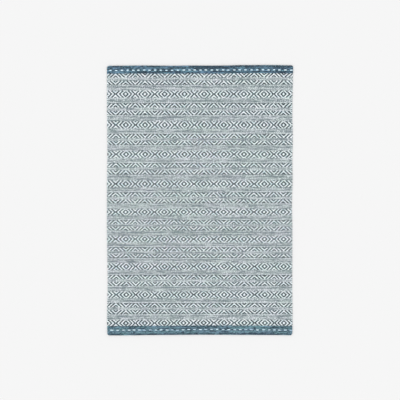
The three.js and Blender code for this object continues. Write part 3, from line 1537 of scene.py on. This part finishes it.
@dataclass(frozen=True)
class RunningStitch:
    """The row of thick white running stitches that holds one turned end."""

    plan: RugPlan
    end: End
    yarn: WoolFinish
    place: float
    first: float
    last: float
    line: StrayLine
    dashes: int = 33
    paleness: tuple[float, float] = (0.4, 0.9)
    dash_length: float = 0.0156
    plies: int = 3
    ply_radius: float = 0.0018
    lay_radius: float = 0.0018
    lay_flatness: float = 0.6
    twist_pitch: float = 0.017
    rise: float = 0.0016
    dive: float = 0.0030
    dive_power: int = 3
    taper_power: int = 4
    taper_fullness: float = 1.25
    tip_share: float = 0.35
    stations: int = 14
    sides: int = 7
    place_spread: float = 0.0012
    line_spread: float = 0.0008
    length_spread: float = 0.08
    tilt_spread: float = 0.06
    phase_reach: float = 6.3
    seed: int = 70

    def tube(self, path: Numbers) -> Numbers:
        """Sweeps a round section along a path, drawn in at both ends.

        Args:
            path: Points along the ply.

        Returns:
            The rings' corners, then the two closing points.
        """
        ahead = np.gradient(path, axis=0)
        ahead /= np.linalg.norm(ahead, axis=1, keepdims=True)
        side = np.cross(UP, ahead)
        side /= np.linalg.norm(side, axis=1, keepdims=True)
        up = np.cross(ahead, side)
        share = np.linspace(-1, 1, len(path))
        taper = self.taper_fullness * np.sqrt(1 - share**self.taper_power)
        radius = self.ply_radius * np.clip(taper, self.tip_share, 1)
        turn = np.linspace(0, 2 * math.pi, self.sides, endpoint=False)
        ring = np.cos(turn)[None, :, None] * side[:, None] + np.sin(turn)[None, :, None] * up[:, None]
        rings = path[:, None] + radius[:, None, None] * ring
        return np.concatenate([rings.reshape(-1, 3), path[:1], path[-1:]])

    def dash(
        self, shapes: ClosedShapes, centre: Numbers, long: float, tilt: float, phase: float, tone: float
    ) -> None:
        """Adds one stitch of twisted plies.

        Args:
            shapes: The mesh in the making.
            centre: Middle of the stitch at the height of the web.
            long: Length of the stitch.
            tilt: Turn of the stitch in the plane of the rug, in radians.
            phase: Where its twist starts, in radians.
            tone: Its tone.
        """
        faces = skin_faces(self.stations, self.sides)
        share = np.linspace(-1, 1, self.stations)
        along = share * long / 2
        arch = self.rise - self.dive * np.abs(share) ** self.dive_power
        for ply in range(self.plies):
            turn = phase + 2 * math.pi * (ply / self.plies + along / self.twist_pitch)
            across = self.lay_radius * np.cos(turn)
            height = arch + self.lay_flatness * self.lay_radius * np.sin(turn)
            x = centre[0] + along * math.cos(tilt) - across * math.sin(tilt)
            y = centre[1] + along * math.sin(tilt) + across * math.cos(tilt)
            corners = self.tube(np.stack([x, y, centre[2] + height], axis=1))
            shapes.add(corners[None], faces, np.array([tone]), np.array([EVEN_HUE]))

    def build(self) -> bpy.types.Object:
        """Builds the row of stitches.

        Returns:
            The new object.
        """
        random = np.random.default_rng(self.seed + self.end.value)
        shapes = ClosedShapes()
        places = np.linspace(self.first, self.last, self.dashes)
        for place, stray in zip(places, self.line.stray(places)):
            x = place + random.normal(0, self.place_spread)
            y = self.place + stray + random.normal(0, self.line_spread)
            laid_x, laid_y = self.plan.lay(np.array([x]), np.array([y]))
            centre = np.array([laid_x[0], laid_y[0], self.plan.hem_thickness])
            long = self.dash_length * (1 + random.normal(0, self.length_spread))
            tilt = random.normal(0, self.tilt_spread)
            phase = random.uniform(0, self.phase_reach)
            self.dash(shapes, centre, long, tilt, phase, random.uniform(*self.paleness))
        return shapes.make(f"{self.end.name.lower()}_running_stitches", self.yarn.material())


@dataclass(frozen=True)
class Studio:
    """A plain pale floor, soft light and a camera straight above."""

    lens_mm: float = 100.0
    sensor_mm: float = 36.0
    far: float = 100.0
    view_width: float = 2.590
    aim: tuple[float, float] = (0.0, 0.00167)
    cloth_height: float = 0.006
    floor_size: float = 60.0
    floor_colour: Colour = (225, 225, 225)
    sky: float = 1.045
    sky_colour: tuple[float, float, float, float] = (1.0, 1.0, 1.0, 1.0)
    sun: float = 0.757
    sun_angle: float = 50.0
    sun_tilt: float = 42.0
    sun_turn: float = -38.0

    def camera(self) -> None:
        """Makes the camera."""
        data = bpy.data.cameras.new("camera")
        data.lens = self.lens_mm
        data.sensor_width = self.sensor_mm
        data.clip_end = self.far
        away = self.view_width * self.lens_mm / self.sensor_mm
        made = new_object("camera", data)
        made.location = (*self.aim, self.cloth_height + away)
        bpy.context.scene.camera = made

    def floor(self) -> bpy.types.Object:
        """Makes the floor.

        Returns:
            The new object.
        """
        half = self.floor_size / 2
        corners = [(-half, -half, 0), (half, -half, 0), (half, half, 0), (-half, half, 0)]
        mesh = bpy.data.meshes.new("studio_floor")
        mesh.from_pydata(corners, [], [(0, 1, 2, 3)])
        material, bench = new_bench("studio_floor")
        shader = bench.node("ShaderNodeBsdfDiffuse", {}, {"Color": linear(self.floor_colour)})
        bench.end_in("ShaderNodeOutputMaterial", shader)
        mesh.materials.append(material)
        made = new_object("studio_floor", mesh)
        return made

    def light(self) -> None:
        """Makes the even sky and one broad soft lamp."""
        world = bpy.data.worlds.new("studio_sky")
        world.use_nodes = True
        bench = NodeBench(world.node_tree)
        sky = bench.node("ShaderNodeBackground", {}, {"Color": self.sky_colour, "Strength": self.sky})
        bench.end_in("ShaderNodeOutputWorld", sky)
        bpy.context.scene.world = world
        data = bpy.data.lights.new("broad_lamp", "SUN")
        data.energy = self.sun
        data.angle = math.radians(self.sun_angle)
        lamp = new_object("broad_lamp", data)
        lamp.rotation_euler = (math.radians(self.sun_tilt), 0.0, math.radians(self.sun_turn))

    def build(self) -> bpy.types.Object:
        """Builds the camera, the light and the floor.

        Returns:
            The floor.
        """
        self.camera()
        self.light()
        bpy.context.scene.view_settings.view_transform = "Standard"
        return self.floor()


HEATHER = WoolFinish(
    name="heather_wool",
    deep=(132, 147, 151),
    pale=(228, 236, 237),
    fleck=(240, 245, 246),
)
WHITE = WoolFinish(
    name="white_wool",
    deep=(208, 228, 231),
    pale=(250, 255, 255),
    fleck=(218, 230, 232),
    fleck_share=0.12,
)
SLATE = WoolFinish(
    name="slate_wool",
    deep=(6, 26, 34),
    pale=(82, 110, 117),
    fleck=(130, 150, 160),
    fleck_share=0.08,
)
HEM_BLUE = WoolFinish(
    name="hem_blue_wool",
    deep=(20, 56, 76),
    pale=(124, 168, 192),
    fleck=(170, 200, 220),
    green_cast=(0.90, 1.03, 0.94),
    violet_cast=(1.06, 0.98, 1.08),
    fleck_share=0.2,
)
WORN_HEM_BLUE = replace(HEM_BLUE, name="worn_hem_blue_wool", deep=(24, 58, 76), pale=(127, 166, 180))
STITCH_WHITE = WoolFinish(
    name="stitch_wool",
    deep=(198, 232, 250),
    pale=(230, 250, 255),
    fleck=(255, 255, 255),
    fleck_share=0.1,
    fibre_share=0.6,
)
WORN_STITCH_WHITE = replace(STITCH_WHITE, name="worn_stitch_wool", deep=(140, 168, 196))


def declare(piece: bpy.types.Object, slot: str) -> bpy.types.Object:
    """Puts a piece on the rug's one body and logs its triangle count.

    Args:
        piece: The piece.
        slot: Not used.

    Returns:
        The same piece.
    """
    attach(piece, "root")
    log.info("%s: %d triangles", piece.name, len(piece.data.polygons))
    return piece


def main() -> None:
    """Builds the studio and the rug, and logs each piece's triangle count."""
    logging.basicConfig(level=logging.INFO, format="%(message)s")
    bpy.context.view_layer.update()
    studio_floor = Studio().build()
    plan = RugPlan()
    draft = Draft(plan)
    wools = {Yarn.HEATHER: HEATHER, Yarn.WHITE: WHITE, Yarn.SLATE: SLATE}
    slots = {Yarn.HEATHER: "heather_ground", Yarn.WHITE: "white_weft", Yarn.SLATE: "slate_weft"}
    ground_finish = GroundFinish(
        name="ground_wool",
        heather=(190, 202, 206),
        heather_deep=(140, 152, 158),
        white=(222, 232, 233),
        slate=(58, 78, 90),
        hem=(50, 84, 104),
        # painted shade of the ground's top between the floats
        gap=(104, 116, 122),
        draft=draft,
    )
    cloth = declare(GroundCloth(plan, draft, ground_finish).build(), "heather_ground")
    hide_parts(CLOTH_NODE)
    for piece, wool in (*WovenField(plan, draft, wools).build(), *Selvedges(plan, draft, wools).build()):
        declare(piece, slots[wool])
    for web, stitches in (
        (
            TurnedEnd(plan, draft, End.TOP, HEM_BLUE, middle_tone=0.36, fold_shade=0.35),
            RunningStitch(
                plan,
                End.TOP,
                STITCH_WHITE,
                place=0.8434,
                first=-0.5779,
                last=0.5900,
                line=StrayLine(at=(-500, -190, 130, 470), out=(-1.1, -0.7, 0.3, -1.0)),
            ),
        ),
        (
            TurnedEnd(plan, draft, End.BOTTOM, WORN_HEM_BLUE, middle_tone=0.60, fold_shade=0.50),
            RunningStitch(
                plan,
                End.BOTTOM,
                WORN_STITCH_WHITE,
                place=-0.8380,
                first=-0.5714,
                last=0.5895,
                line=StrayLine(at=(-500, -190, 130, 470), out=(-0.5, -0.7, 0.2, -0.8)),
                dash_length=0.0180,
                ply_radius=0.0016,
                lay_radius=0.0015,
                paleness=(0.25, 1.0),
            ),
        ),
    ):
        declare(web.build(), "hem_blue")
        declare(stitches.build(), "hem_thread")


if __name__ == "__main__":
    main()
